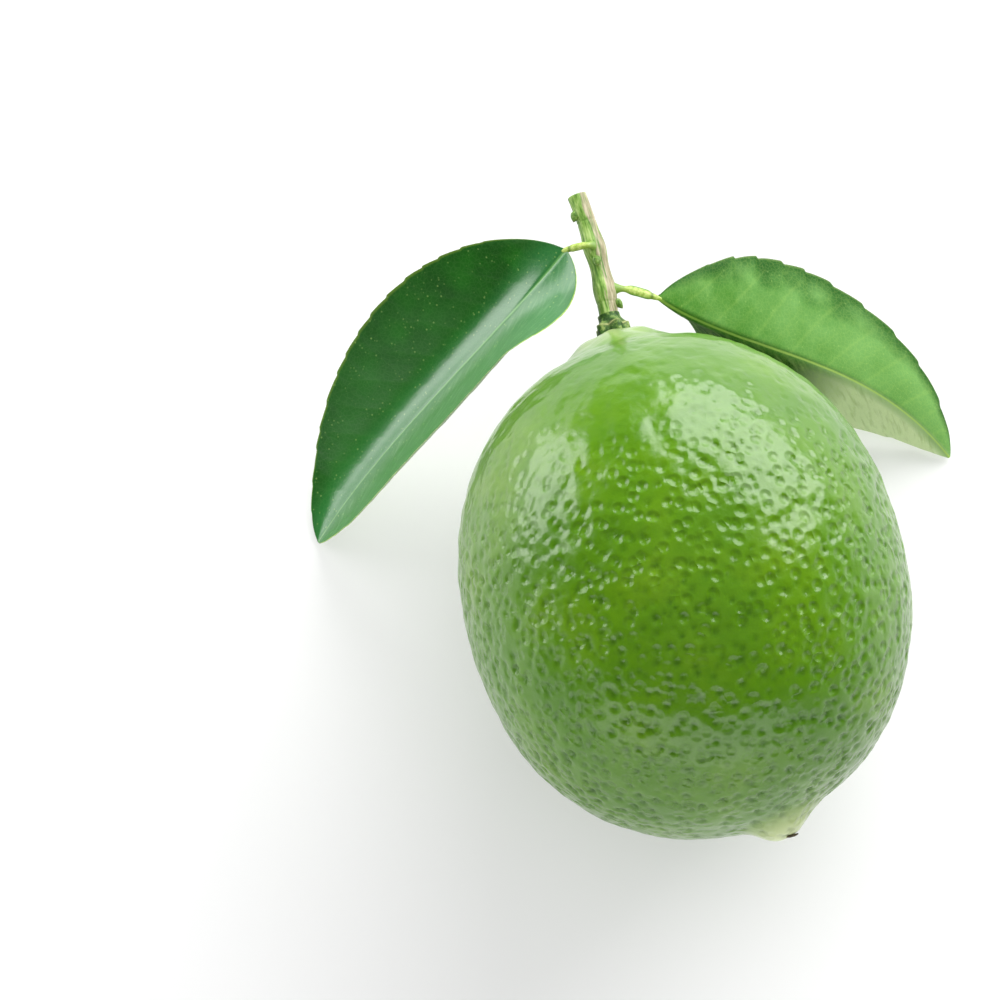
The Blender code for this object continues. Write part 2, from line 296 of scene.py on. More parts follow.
def finish_piece(name, bm, materials, node=None, crease=50.0):
    """Turns a bmesh into a finished piece that rides on the body, and hides the frame node whose place
    it takes.
    """
    bmesh.ops.remove_doubles(bm, verts=bm.verts, dist=MERGE_DISTANCE)
    bmesh.ops.recalc_face_normals(bm, faces=bm.faces)
    mesh = bpy.data.meshes.new(name)
    bm.to_mesh(mesh)
    bm.free()
    mesh.shade_smooth()
    mesh.set_sharp_from_angle(angle=math.radians(crease))
    piece = bpy.data.objects.new(name, mesh)
    for material in materials:
        piece.data.materials.append(material)
    bpy.context.scene.collection.objects.link(piece)
    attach(piece, "root")
    if node:
        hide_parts(node)
    triangles = sum(len(face.vertices) - 2 for face in mesh.polygons)
    print(name, triangles, "triangles,", [round(v / MM, 1) for v in piece.dimensions], "mm")


def wrap_tube(rows, around, place, values=()):
    """A closed tube from a flat grid. place(along, turn) gives a point, both running from 0 to 1.

    It may return further numbers, which are kept as point attributes with the names in values.
    """
    bm = bmesh.new()
    bm.loops.layers.uv.new("UVMap")
    bmesh.ops.create_grid(bm, x_segments=rows, y_segments=around, size=0.5, calc_uvs=True)
    layers = [bm.verts.layers.float.new(value) for value in values]
    for vert in bm.verts:
        point, *numbers = place(vert.co.x + 0.5, vert.co.y + 0.5)
        vert.co = point
        for layer, number in zip(layers, numbers):
            vert[layer] = number
    bmesh.ops.remove_doubles(bm, verts=bm.verts, dist=MERGE_DISTANCE)
    bmesh.ops.holes_fill(bm, edges=[edge for edge in bm.edges if edge.is_boundary])
    return bm


# %% [markdown]
# ## The rind's shape
#
# A lime's rind is a waxy skin over oil glands. Each gland sinks a little as the fruit ripens and leaves
# a pit one to one and a half millimetres wide, about two millimetres from the next. The pits are real
# dents in the mesh, because the highlights must break on them. A cube is cut into even squares and blown
# up to the fruit's outline, since a globe's mesh would crowd its faces at the ends.

# %% Smooth outline of the fruit
COLLAR_CREST = SEAT_RADIUS + COLLAR_SPREAD / 3
COLLAR_EDGE = SEAT_RADIUS + COLLAR_SPREAD


def body_radius(share):
    """Radius of the plain body at a share of its half length, from -1 to 1."""
    return FRUIT_RADIUS * (1.0 - min(abs(share), 1.0) ** FRUIT_FULLNESS) ** (1.0 / FRUIT_FULLNESS)


def skin_point(direction):
    """The place on the smooth fruit that lies in a direction from its middle."""
    share = direction.y
    radius = body_radius(share)
    turn = math.atan2(direction.z, direction.x)
    x = radius * math.cos(turn)
    z = radius * math.sin(turn)
    y = share * FRUIT_HALF_LENGTH
    if y > 0.0:
        y += (SEAT_Y - y) * (1.0 - smooth_step(radius, SEAT_RADIUS, COLLAR_EDGE))
        ramp = smooth_step(radius, SEAT_RADIUS * 0.6, COLLAR_CREST)
        ramp *= 1.0 - smooth_step(radius, COLLAR_CREST, COLLAR_EDGE)
        y -= COLLAR_FURROW_DEPTH * ramp * (0.5 - 0.5 * math.cos(COLLAR_FURROWS * turn))
    else:
        distance = math.hypot(x - NIPPLE_OFFSET, z) / NIPPLE_RADIUS
        y -= NIPPLE_HEIGHT * math.exp(-(distance**NIPPLE_BLUNTNESS))
    return Vector((x, y, z)) + CENTRE


def outward(point):
    """The way out of the fruit at a point, near enough for small dents."""
    x, y, z = point - CENTRE
    return Vector((x / FRUIT_RADIUS**2, y / FRUIT_HALF_LENGTH**2, z / FRUIT_RADIUS**2)).normalized()


# %% Pits, spread as evenly as seeds on a sunflower and then nudged
PIT_SPACING = 1.8 * MM
PIT_NUDGE = 0.42 * PIT_SPACING / FRUIT_RADIUS
PIT_RADIUS = (0.50 * MM, 0.82 * MM)
PIT_DEPTH = (0.10 * MM, 0.42 * MM)
PIT_PATCH = 14.0 * MM
# Towards the stem end the pits get shallower and fewer, over these stretches of Y.
SHALLOW_STRETCH = (2.0 * MM, 22.0 * MM)
SHALLOW_SHARE = 0.32
SPARSE_STRETCH = (2.0 * MM, 26.0 * MM)
PITS_KEPT = (0.97, 0.6)
GOLDEN_TURN = math.pi * (3.0 - math.sqrt(5.0))

draw = random.Random(7)
fruit_area = 4.0 * math.pi * FRUIT_RADIUS * (2.0 * FRUIT_HALF_LENGTH + FRUIT_RADIUS) / 3.0
pit_count = int(fruit_area / (PIT_SPACING**2 * math.sqrt(3.0) / 2.0))
pits = []
for number in range(pit_count):
    share = 1.0 - 2.0 * (number + 0.5) / pit_count
    ring = math.sqrt(1.0 - share * share)
    turn = number * GOLDEN_TURN
    direction = Vector((ring * math.cos(turn), share, ring * math.sin(turn)))
    nudge = Vector([draw.uniform(-1.0, 1.0) for _ in range(3)]) * PIT_NUDGE
    place = skin_point((direction + nudge).normalized())
    size = draw.random()
    keep = draw.random()
    strength = mix(1.0, SHALLOW_SHARE, smooth_step(place.y, *SHALLOW_STRETCH))
    patch = 0.75 + 0.5 * noise.noise(place / PIT_PATCH)
    depth = mix(*PIT_DEPTH, 0.5 * size + 0.5 * draw.random()) * strength * patch
    if keep < mix(*PITS_KEPT, smooth_step(place.y, *SPARSE_STRETCH)):
        pits.append((place, mix(*PIT_RADIUS, size), depth))
tree_of_pits = kdtree.KDTree(len(pits))
for number, pit in enumerate(pits):
    tree_of_pits.insert(pit[0], number)
tree_of_pits.balance()
print(len(pits), "pits over", round(fruit_area / MM**2 / 100), "square cm")


def pit_dent(point):
    """How deep the pits dent the rind at a point."""
    dent = 0.0
    for _, number, distance in tree_of_pits.find_range(point, PIT_RADIUS[1]):
        _, radius, depth = pits[number]
        if distance < radius:
            dent = max(dent, depth * (1.0 - (distance / radius) ** 2) ** 2)
    return dent


# %% Where the rind is pale
COLLAR_PALE = (3.5 * MM, 9.5 * MM)
COLLAR_PALENESS = 0.55
NIPPLE_PALE = (1.0 * MM, 6.5 * MM)


def paleness(point):
    """Streaks along the collar's ribs at the stem end, and the whole nipple at the other."""
    rise = point.z - AXIS_HEIGHT
    if point.y > 0.0:
        collar = 1.0 - smooth_step(math.hypot(point.x, rise), *COLLAR_PALE)
        turn = math.atan2(rise, point.x)
        rib = 0.5 + 0.5 * math.cos(COLLAR_FURROWS * turn) * math.cos(3.0 * turn + 1.0)
        return COLLAR_PALENESS * (collar * mix(0.45, 1.0, rib))
    return 1.0 - smooth_step(math.hypot(point.x - NIPPLE_OFFSET, rise), *NIPPLE_PALE)


# %% Rind mesh
CUBE_CUTS = 124
# Length and height of the swells, the ripples and the crinkles that lie over each other.
RIND_RELIEF = ((11.0 * MM, 0.16 * MM), (2.6 * MM, 0.14 * MM), (1.4 * MM, 0.05 * MM))
# The pits' painted shade and the dimples between the pits fade towards the stem end.
PIT_SHADE_STRETCH = (-8.0 * MM, 4.0 * MM)
DIMPLE_STRETCH = (5.0 * MM, 17.0 * MM)

bm = bmesh.new()
bmesh.ops.create_cube(bm, size=2.0)
bmesh.ops.subdivide_edges(bm, edges=bm.edges, cuts=CUBE_CUTS, use_grid_fill=True)
pit_shade_layer = bm.verts.layers.float.new("pit")
pale_layer = bm.verts.layers.float.new("pale")
dimple_layer = bm.verts.layers.float.new("dimple")
for vert in bm.verts:
    # Evening out the cube's squares: without the tangent they would crowd in the corners.
    direction = Vector([math.tan(v * math.pi / 4.0) for v in vert.co]).normalized()
    point = skin_point(direction)
    dent = pit_dent(point)
    # Painted shade in each pit: it grows with the pit's dent and is strongest towards the blossom end.
    vert[pit_shade_layer] = dent / PIT_DEPTH[1] * mix(1.0, 0.5, smooth_step(point.y, *PIT_SHADE_STRETCH))
    vert[pale_layer] = paleness(point)
    vert[dimple_layer] = mix(1.0, 0.12, smooth_step(point.y, *DIMPLE_STRETCH))
    rise = sum(height * noise.noise(point / length) for length, height in RIND_RELIEF)
    point += outward(point) * (rise - dent)
    # The fruit's own weight presses it flat where it touches the table.
    point.z = max(point.z, 0.0)
    vert.co = point
print("rind mesh of", len(bm.verts), "points")

# %% [markdown]
# ## The rind's finish
#
# Lime rind: a saturated green skin under a thin natural wax, polished by handling. The wax gives sharp,
# bright mirror images with a smooth base beneath, so the roughness is low and a clear coat lies over
# it. The green is a little yellower in soft patches and paler on the collar and the nipple, and each pit
# carries painted shade at its bottom, strongest towards the blossom end. Two patterns are bump, because
# a mesh fine
# enough for them would be far too large: shallow dimples between the pits, which scatter glints, and
# pores that dull the mirror images slightly.

# %% Patterns and layers of colour
def noise_inputs(where, size, detail=3.0, roughness=0.5):
    """Inputs of a soft pattern whose patches have a given size in metres."""
    return {"Vector": where, "Scale": 1.0 / size, "Detail": detail, "Roughness": roughness}


def lay_colours(tree, ground, layers):
    """Lays colours over a ground, one after another, and returns the last mix.

    A layer is a driving value, where on it the layer starts, where it is full, how much it then
    covers, and its colour, as a hex value or a node.
    """
    for driver, start, full, cover, paint in layers:
        share = add_node(tree, "MapRange", inputs={0: driver, 1: start, 2: full, 3: 0.0, 4: cover})
        ground = add_node(tree, "Mix", {"data_type": "RGBA"}, {0: share, 6: ground, 7: paint})
    return ground


# %% Rind material
DIMPLE_SPACING = 1.6 * MM
DIMPLE_DEPTH = 0.22 * MM

waxed_rind, tree, shader = new_material("waxed_lime_rind", {
    "Roughness": 0.28, "IOR": 1.43, "Coat Weight": 0.35, "Coat Roughness": 0.10})
where = add_node(tree, "TexCoord").outputs["Object"]
pit = add_node(tree, "Attribute", {"attribute_name": "pit"}).outputs["Fac"]
pale = add_node(tree, "Attribute", {"attribute_name": "pale"}).outputs["Fac"]
dimple = add_node(tree, "Attribute", {"attribute_name": "dimple"}).outputs["Fac"]
patches = add_node(tree, "TexNoise", inputs=noise_inputs(where, 9.0 * MM, 2.0))
mottle = add_node(tree, "TexNoise", inputs=noise_inputs(where, 1.1 * MM, 3.0, 0.6))
ground = add_node(tree, "ValToRGB", inputs={0: patches}, stops=[
    (0.3, "#4a7a04"), (0.52, "#538205"), (0.74, "#608b09")])
rind_colour = lay_colours(tree, ground, [
    (mottle, 0.45, 0.75, 0.35, "#3c6f04"),
    (pale, 0.0, 1.0, 1.0, "#c6d49a"),
    # Painted shade at the bottom of each pit.
    (pit, 0.0, 1.0, 0.8, "#265404"),
])
pores = add_node(tree, "TexNoise", inputs=noise_inputs(where, 0.7 * MM))
pore_bump = add_node(tree, "Bump", inputs={"Strength": 0.8, "Distance": 0.05 * MM, "Height": pores})
cells = add_node(tree, "TexVoronoi", inputs={"Vector": where, "Scale": 1.0 / DIMPLE_SPACING})
cell_dents = add_node(
    tree, "MapRange", {"interpolation_type": "SMOOTHSTEP"}, {0: cells, 1: 0.12, 2: 0.55})
dent_height = add_node(tree, "Math", {"operation": "MULTIPLY"}, {0: cell_dents, 1: dimple})
dent_bump = add_node(tree, "Bump", inputs={
    "Strength": 1.0, "Distance": DIMPLE_DEPTH, "Height": dent_height, "Normal": pore_bump})
set_inputs(shader, {"Base Color": rind_colour, "Normal": dent_bump})

finish_piece("rind", bm, [waxed_rind], "fruit", crease=180.0)

# %% [markdown]
# ## Style scar
#
# Where the flower's style dropped off, the nipple keeps a small dark scab. It is a shallow, rough cap
# sunk into the tip. A half ball would look like a bead, so its rim is ragged and its top is nearly
# flat. Dried scab is corky and dull: very rough, and flecked with brown.

# %% Style scar
SCAR_RADIUS = 0.75 * MM
SCAR_HEIGHT = 0.22 * MM
SCAR_SUNK = 0.55
SCAR_RAGGEDNESS = 0.18
SCAR_ROUGHNESS = 0.05 * MM

nipple_tip = skin_point(Vector((NIPPLE_OFFSET / FRUIT_RADIUS, -0.985, 0.0)).normalized())


def scar_place(along, turn):
    """along runs from the middle of the cap, out to its rim."""
    angle = turn * math.tau
    out = Vector((math.cos(angle), math.sin(angle), 0.3))
    ragged = 1.0 + SCAR_RAGGEDNESS * noise.noise(out * 2.2)
    radius = SCAR_RADIUS * ragged * math.sin(min(along * 1.02, 1.0) * math.pi / 2 + 0.001)
    rise = SCAR_HEIGHT * (math.cos(along * math.pi / 2) ** 0.6 - SCAR_SUNK)
    rough = noise.noise(Vector((along * 4.0, math.cos(angle) * 2.0, math.sin(angle) * 2.0)))
    drop = rise + SCAR_ROUGHNESS * rough
    return (nipple_tip + Vector((radius * math.cos(angle), -drop, radius * math.sin(angle))),)


scar_scab, tree, shader = new_material("dried_style_scab", {"Roughness": 0.8, "IOR": 1.4})
where = add_node(tree, "TexCoord").outputs["Object"]
flecks = add_node(tree, "TexNoise", inputs=noise_inputs(where, 0.3 * MM))
scab_colour = add_node(tree, "ValToRGB", inputs={0: flecks}, stops=[
    (0.35, "#231d10"), (0.6, "#4a4020"), (0.8, "#7d7440")])
set_inputs(shader, {"Base Color": scab_colour})
finish_piece("style_scar", wrap_tube(10, 32, scar_place), [scar_scab])

# %% [markdown]
# ## Calyx
#
# The calyx is the flower's green cup, which stays on as a woody button with five blunt lobes pressed on
# the collar. Its outline is a circle with five waves in it, and the waves fade out towards the twig. The
# lobe tips lift a little, as they do once they have dried. Its skin is matt and grainy, between leaf
# and bark, so it only gets a dull sheen, and its rim is coloured paler than the rest.

# %% Calyx shape
calyx_low, calyx_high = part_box("calyx")
CALYX_RADIUS = (calyx_high.z - calyx_low.z) / 2
CALYX_FOOT = SEAT_Y - 0.25 * MM
CALYX_TOP = calyx_high.y + 0.35 * MM
CALYX_LOBES = 5
CALYX_LOBE_DEPTH = 0.26
CALYX_LOBE_LIFT = 0.28 * MM
CALYX_GRAIN = (0.07 * MM, 0.08 * MM)
TWIG_RADIUS = 1.25 * MM
CALYX_HUB = TWIG_RADIUS * 1.12


def calyx_place(along, turn):
    """along runs from under the rim, round it and up to the twig."""
    angle = turn * math.tau
    lobe = 0.5 - 0.5 * math.cos(CALYX_LOBES * angle)
    rim = smooth_step(along, 0.0, 0.2) * (1.0 - smooth_step(along, 0.45, 0.85))
    radius = mix(CALYX_HUB, CALYX_RADIUS * (1.0 - CALYX_LOBE_DEPTH * lobe), rim)
    climb = 0.5 * smooth_step(along, 0.15, 0.5) + 0.5 * smooth_step(along, 0.5, 1.0)
    rise = mix(CALYX_FOOT, CALYX_TOP, climb)
    lift = CALYX_LOBE_LIFT * rim * (1.0 - lobe) * smooth_step(along, 0.1, 0.35)
    grain = Vector((math.cos(angle) * 3.0, math.sin(angle) * 3.0, along * 2.0))
    radius += CALYX_GRAIN[0] * noise.noise(grain * 1.7) * rim
    rise += CALYX_GRAIN[1] * noise.noise(grain * 1.3 + Vector((5.0, 1.0, 2.0))) * rim
    point = Vector((radius * math.cos(angle), rise + lift, AXIS_HEIGHT + radius * math.sin(angle)))
    return point, hill(along, 0.52, 0.07)


# %% Calyx material
woody_calyx, tree, shader = new_material("woody_calyx", {"Roughness": 0.6, "IOR": 1.42})
where = add_node(tree, "TexCoord").outputs["Object"]
edge = add_node(tree, "Attribute", {"attribute_name": "edge"}).outputs["Fac"]
grain = add_node(tree, "TexNoise", inputs=noise_inputs(where, 0.8 * MM, 4.0, 0.6))
ground = add_node(tree, "ValToRGB", inputs={0: grain}, stops=[
    (0.38, "#1d3d0a"), (0.52, "#3d6520"), (0.68, "#8fa355")])
calyx_colour = lay_colours(tree, ground, [(edge, 0.0, 1.0, 1.0, "#a8ad6c")])
grain_bump = add_node(tree, "Bump", inputs={"Strength": 0.6, "Distance": 0.06 * MM, "Height": grain})
set_inputs(shader, {"Base Color": calyx_colour, "Normal": grain_bump})
finish_piece(
    "calyx_button", wrap_tube(40, 90, calyx_place, ["edge"]), [woody_calyx], "calyx")

# %% [markdown]
# ## Twig
#
# A young citrus twig is green and slightly angular, with ridges that run on from each leaf stalk. Where
# cork has started to form, it shows as tan streaks along the ridges. The twig swells at each leaf. It
# was snipped off square, so its free end shows bark, pale wood and a soft pith, as three rings.

# %% Twig sizes
GAP = 0.3 * MM
TWIG_LENGTH = 16.0 * MM
TWIG_BOW = 0.5 * MM
TWIG_RISE = 1.0 * MM
TWIG_START = calyx_high.y + GAP + TWIG_RADIUS * 4.0 * TWIG_BOW / TWIG_LENGTH
TWIG_ROOT = 0.7 * MM
TWIG_RIDGES = 3
TWIG_RIDGE_HEIGHT = 0.07
LEFT_NODE = 8.8 * MM
RIGHT_NODE = 3.1 * MM
NODE_SWELLING = 0.22
NODE_SPREAD = 1.6 * MM
STREAK_LENGTH = 7.0 * MM
STREAK_HEIGHT = 0.06 * MM
FIBRE_LENGTH = 3.0 * MM
FIBRE_HEIGHT = 0.035 * MM


def twig_centre(distance):
    """The twig's centre line: it bows a little to the right and rises towards its cut end."""
    share = distance / TWIG_LENGTH
    bow = TWIG_BOW * 4.0 * share * (1.0 - share)
    return Vector((bow, TWIG_START + distance, AXIS_HEIGHT + TWIG_RISE * share * share))


def twig_radius(distance):
    """The twig's radius, which swells where each leaf stalk leaves it."""
    swell = sum(NODE_SWELLING * hill(distance, node, NODE_SPREAD) for node in (LEFT_NODE, RIGHT_NODE))
    return TWIG_RADIUS * (1.0 + swell)


print("twig from y", round(TWIG_START / MM, 1), "to", round((TWIG_START + TWIG_LENGTH) / MM, 1), "mm")

# %% Twig shape
# Two faint rings mark where the bud scales of an earlier shoot dropped off.
SCALE_RINGS = (1.4 * MM, 12.4 * MM)
RING_WIDTH = 0.14 * MM
RING_DEPTH = 0.05 * MM
# The last part of the grid is the cut: a rounded lip, bark proud of the wood, and a sunken pith.
CUT_SHARE = 0.9
CUT_LIP = 0.15 * MM
CUT_LIP_DROP = 0.06 * MM
WOOD_SUNK = 0.08 * MM
PITH_SUNK = 0.12 * MM
CUT_ROUGHNESS = 0.04 * MM


def twig_place(along, turn):
    """The bark up to CUT_SHARE of the grid, and the cut face, as rings that close in, beyond it."""
    inwards = max(0.0, (along - CUT_SHARE) / (1.0 - CUT_SHARE))
    distance = mix(-TWIG_ROOT, TWIG_LENGTH, min(along / CUT_SHARE, 1.0))
    angle = turn * math.tau
    x = math.cos(angle)
    z = math.sin(angle)
    step = TWIG_LENGTH * 0.01
    ahead = (twig_centre(distance + step) - twig_centre(distance - step)).normalized()
    across = squared(SIDEWAYS, ahead)
    over = ahead.cross(across)
    ridge = 0.5 + 0.5 * math.cos(TWIG_RIDGES * angle)
    streak = noise.noise(Vector((x * 2.6, z * 2.6, distance / STREAK_LENGTH)))
    fibre = noise.noise(Vector((x * 7.0, z * 7.0, distance / FIBRE_LENGTH + 4.0)))
    radius = twig_radius(distance) * (1.0 - TWIG_RIDGE_HEIGHT * (1.0 - ridge))
    radius += STREAK_HEIGHT * streak + FIBRE_HEIGHT * fibre
    for ring in SCALE_RINGS:
        radius -= RING_DEPTH * hill(distance, ring, RING_WIDTH)
    lip = max(0.0, distance - (TWIG_LENGTH - CUT_LIP)) / CUT_LIP
    radius = (radius - CUT_LIP_DROP * lip * lip) * (1.0 - inwards)
    sink = WOOD_SUNK * smooth_step(inwards, 0.1, 0.3) + PITH_SUNK * smooth_step(inwards, 0.6, 0.8)
    sink += CUT_ROUGHNESS * noise.noise(Vector((x * 3.0, z * 3.0, inwards * 6.0))) * inwards
    point = twig_centre(distance) + across * (radius * x) - over * (radius * z) - ahead * sink
    cork = smooth_step(math.cos(angle - 0.45) + 0.6 * streak + 0.5 * fibre, 0.25, 0.75)
    return point, ridge, cork, inwards


# %% [markdown]
# ## Bark and cut wood
#
# Young bark is a fibrous green skin with a dull sheen. Its fibres run along the twig, so the pattern is
# drawn out along Y, and the furrows between the ridges carry painted shade. Fresh cut wood is dry and
# matt. Its colours are rings around the middle of the cut: pith, pale wood, and a thin green rim of
# bark.

# %% Bark material
DRAWN_OUT = (1.0, 0.14, 1.0)

twig_bark, tree, shader = new_material("young_green_bark", {"Roughness": 0.5, "IOR": 1.42})
where = add_node(tree, "TexCoord").outputs["Object"]
ridge = add_node(tree, "Attribute", {"attribute_name": "ridge"}).outputs["Fac"]
cork = add_node(tree, "Attribute", {"attribute_name": "cork"}).outputs["Fac"]
drawn_out = add_node(tree, "Mapping", inputs={"Vector": where, "Scale": DRAWN_OUT})
fibres = add_node(tree, "TexNoise", inputs=noise_inputs(drawn_out, 0.35 * MM, 3.0, 0.6))
streaks = add_node(tree, "TexNoise", inputs=noise_inputs(drawn_out, 0.8 * MM, 3.0, 0.6))
greens = add_node(tree, "ValToRGB", inputs={0: fibres}, stops=[
    (0.35, "#47741f"), (0.5, "#7aa044"), (0.68, "#abc475")])
tans = add_node(tree, "ValToRGB", inputs={0: fibres}, stops=[
    (0.35, "#83805c"), (0.5, "#a39b7a"), (0.66, "#beb598")])
corkiness = add_node(tree, "Math", {"operation": "MULTIPLY_ADD"}, {0: cork, 1: 0.5, 2: streaks})
bark_colour = lay_colours(tree, greens, [
    # Painted shade in the furrows between the ridges.
    (ridge, 0.3, 0.0, 0.75, "#3c5c22"),
    (corkiness, 0.80, 0.98, 1.0, tans),
])
fibre_bump = add_node(tree, "Bump", inputs={"Strength": 0.7, "Distance": 0.05 * MM, "Height": fibres})
set_inputs(shader, {"Base Color": bark_colour, "Normal": fibre_bump})

# %% Cut wood material
cut_wood, tree, shader = new_material("fresh_cut_wood", {"Roughness": 0.7, "IOR": 1.4})
where = add_node(tree, "TexCoord").outputs["Object"]
cut_middle = twig_centre(TWIG_LENGTH)
from_middle = add_node(tree, "VectorMath", {"operation": "DISTANCE"}, {0: where, 1: cut_middle})
rings = add_node(tree, "MapRange", inputs={0: from_middle, 1: 0.0, 2: TWIG_RADIUS})
ring_colours = add_node(tree, "ValToRGB", inputs={0: rings}, stops=[
    (0.0, "#f1efdc"), (0.3, "#e6e2c0"), (0.36, "#cfd09a"), (0.7, "#dadfae"), (0.78, "#8fb457"),
    (1.0, "#5d8a2c")])
set_inputs(shader, {"Base Color": ring_colours})

bm = wrap_tube(170, 54, twig_place, ["ridge", "cork", "cut"])
cut_layer = bm.verts.layers.float["cut"]
for face in bm.faces:
    face.material_index = 1 if min(vert[cut_layer] for vert in face.verts) > 0.0 else 0
finish_piece("twig_bark", bm, [twig_bark, cut_wood], "twig")

# %% [markdown]
# ## Where the leaves go
#
# Each leaf has a stalk, which leaves the twig's side at a swollen foot, and a blade, whose midrib is
# a curve from the stalk down to the table. The blade's two halves are wings: each has a slope next to
# the midrib and another at its margin, first at the base and then further out. These are the frame's
# own numbers, so the blades lie where its solids do. The fold is the stretch beside the midrib over
# which the inner wing's slope turns into the outer wing's, with a rest on the way.

# %% Leaf numbers
PETIOLE_WIDTH = 1.1 * MM
PETIOLE_FLATNESS = 0.7
PETIOLE_BASE_SWELLING = 0.45
LEAF_REST = 0.575 * MM
BLADE_END_HALF_WIDTH = 0.45 * MM
BLADE_TIP_HALF_WIDTH = 0.2 * MM
BLADE_WIDEST = 0.87
BLADE_FULLNESS = 0.72
LEAVES = {
    "left": {
        "side": -1, "node": LEFT_NODE, "stalk_round": 80.0, "stalk_length": 3.1 * MM,
        "stalk_turn": -8.0, "stalk_rise": -29.0, "stalk_wing": 0.25,
        "heading": 209.8, "length": 52.4 * MM, "half_width": 13.7 * MM, "outer_share": 1.04,
        "bends": ((0.30, -0.032, 0.85), (0.68, 0.054, 0.30)),
        "outer_wing": ((11.0, -9.0), (20.0, 8.0)),
        "inner_wing": ((17.0, 34.0), (51.0, 81.0)),
        "opening": (0.0, 0.27),
        "fold_in": (-4.4 * MM, 0.0), "fold_out": (0.6 * MM, 6.0 * MM), "fold_rest": 0.27,
        "tooth_length": 3.0 * MM, "tooth_depth": 0.22 * MM, "vein_spacing": 4.6 * MM,
        "quilt": 0.018 * MM, "wave": 0.10 * MM, "ripple": 0.02 * MM,
    },
    "right": {
        "side": 1, "node": RIGHT_NODE, "stalk_round": 10.0, "stalk_length": 4.6 * MM,
        "stalk_turn": 27.0, "stalk_rise": -20.0, "stalk_wing": 0.7,
        "heading": -33.2, "length": 49.1 * MM, "half_width": 12.9 * MM, "outer_share": 1.0,
        "bends": ((0.30, -0.042, 0.766), (0.65, 0.148, 0.483)),
        "outer_wing": ((4.0, -16.0), (1.0, -24.0)),
        "inner_wing": ((-106.0, -124.0), (-46.0, -84.0)),
        "opening": (0.12, 0.62),
        "fold_in": (-0.8 * MM, 0.0), "fold_out": (0.0, 0.8 * MM), "fold_rest": 0.5,
        "tooth_length": 4.2 * MM, "tooth_depth": 0.42 * MM, "vein_spacing": 6.0 * MM,
        "quilt": 0.07 * MM, "wave": 0.30 * MM, "ripple": 0.06 * MM,
    },
}


# %% Places on the twig
def side_direction(side, round_angle):
    """The direction out of the twig on one side, round_angle degrees above level."""
    angle = math.radians(round_angle)
    return Vector((side * math.cos(angle), 0.0, math.sin(angle)))


def stalk_direction(leaf):
    turn = math.radians(leaf["stalk_turn"])
    rise = math.radians(leaf["stalk_rise"])
    level = Vector((leaf["side"] * math.cos(turn), -math.sin(turn), 0.0))
    return (level * math.cos(rise) + UP * math.sin(rise)).normalized()


def stalk_start(leaf):
    """Where the frame's stalk begins, just clear of the twig's swollen side."""
    out = side_direction(leaf["side"], leaf["stalk_round"])
    half = PETIOLE_WIDTH / 2 * (1.0 + PETIOLE_BASE_SWELLING)
    foot = half * math.sqrt(max(1.0 - stalk_direction(leaf).dot(out) ** 2, 0.0))
    return twig_centre(leaf["node"]) + out * (twig_radius(leaf["node"]) + GAP + foot)


def blade_start(leaf):
    """Where the frame's blade begins: past the stalk's end, by a gap and its own turned corner."""
    ahead = stalk_direction(leaf)
    turned = math.radians(leaf["heading"]) - math.atan2(ahead.y, ahead.x)
    corner = BLADE_END_HALF_WIDTH * abs(math.sin(turned))
    return stalk_start(leaf) + ahead * (leaf["stalk_length"] + GAP + corner)


def curve_point(points, share):
    """Place and direction on a cubic Bezier curve."""
    a, b, c, d = points
    rest = 1.0 - share
    place = a * rest**3 + b * (3 * rest * rest * share) + c * (3 * rest * share * share) + d * share**3
    slope = (b - a) * rest * rest + (c - b) * (2 * rest * share) + (d - c) * share * share
    return place, slope.normalized()


for side_name, leaf in LEAVES.items():
    print(side_name, "blade starts at", [round(v / MM, 1) for v in blade_start(leaf)], "mm")

# %% [markdown]
# ## Leaf stalks
#
# A citrus leaf stalk is a short, flattened rod with a thin wing along each edge, and it joins the blade
# at a visible seam. Its swollen foot grows out of the twig, so the stalk starts inside the bark and no
# gap shows. The wings are made by drawing the cross-section out to a thin edge on both sides. The
# stalk's skin is smooth and satin, with fine fibres, yellower than leaf or bark.

# %% Leaf stalk material
green_stalk, tree, shader = new_material("leaf_stalk", {"Roughness": 0.42, "IOR": 1.43})
where = add_node(tree, "TexCoord").outputs["Object"]
flange = add_node(tree, "Attribute", {"attribute_name": "flange"}).outputs["Fac"]
seam = add_node(tree, "Attribute", {"attribute_name": "seam"}).outputs["Fac"]
foot = add_node(tree, "Attribute", {"attribute_name": "foot"}).outputs["Fac"]
fibres = add_node(tree, "TexNoise", inputs=noise_inputs(where, 0.4 * MM, 3.0, 0.6))
ground = add_node(tree, "ValToRGB", inputs={0: fibres}, stops=[
    (0.35, "#8aa83c"), (0.55, "#b2c763"), (0.75, "#d3dd94")])
stalk_colour = lay_colours(tree, ground, [
    (flange, 0.0, 1.0, 1.0, "#3f7a1e"),
    (seam, 0.0, 1.0, 1.0, "#5b7a26"),
    (foot, 0.0, 1.0, 1.0, "#76993f"),
])
fibre_bump = add_node(tree, "Bump", inputs={"Strength": 0.4, "Distance": 0.03 * MM, "Height": fibres})
set_inputs(shader, {"Base Color": stalk_colour, "Normal": fibre_bump})

# %% Leaf stalk shape
STALK_INTO_TWIG = 0.3
STALK_OUT_OF_TWIG = 0.5 * MM
STALK_INTO_BLADE = 0.5 * MM
STALK_WAIST = 0.72
STALK_FOOT = 1.3 + PETIOLE_BASE_SWELLING
SEAM_PLACE = 0.88
SEAM_PINCH = 0.12
GROOVE_DEPTH = 0.12 * MM

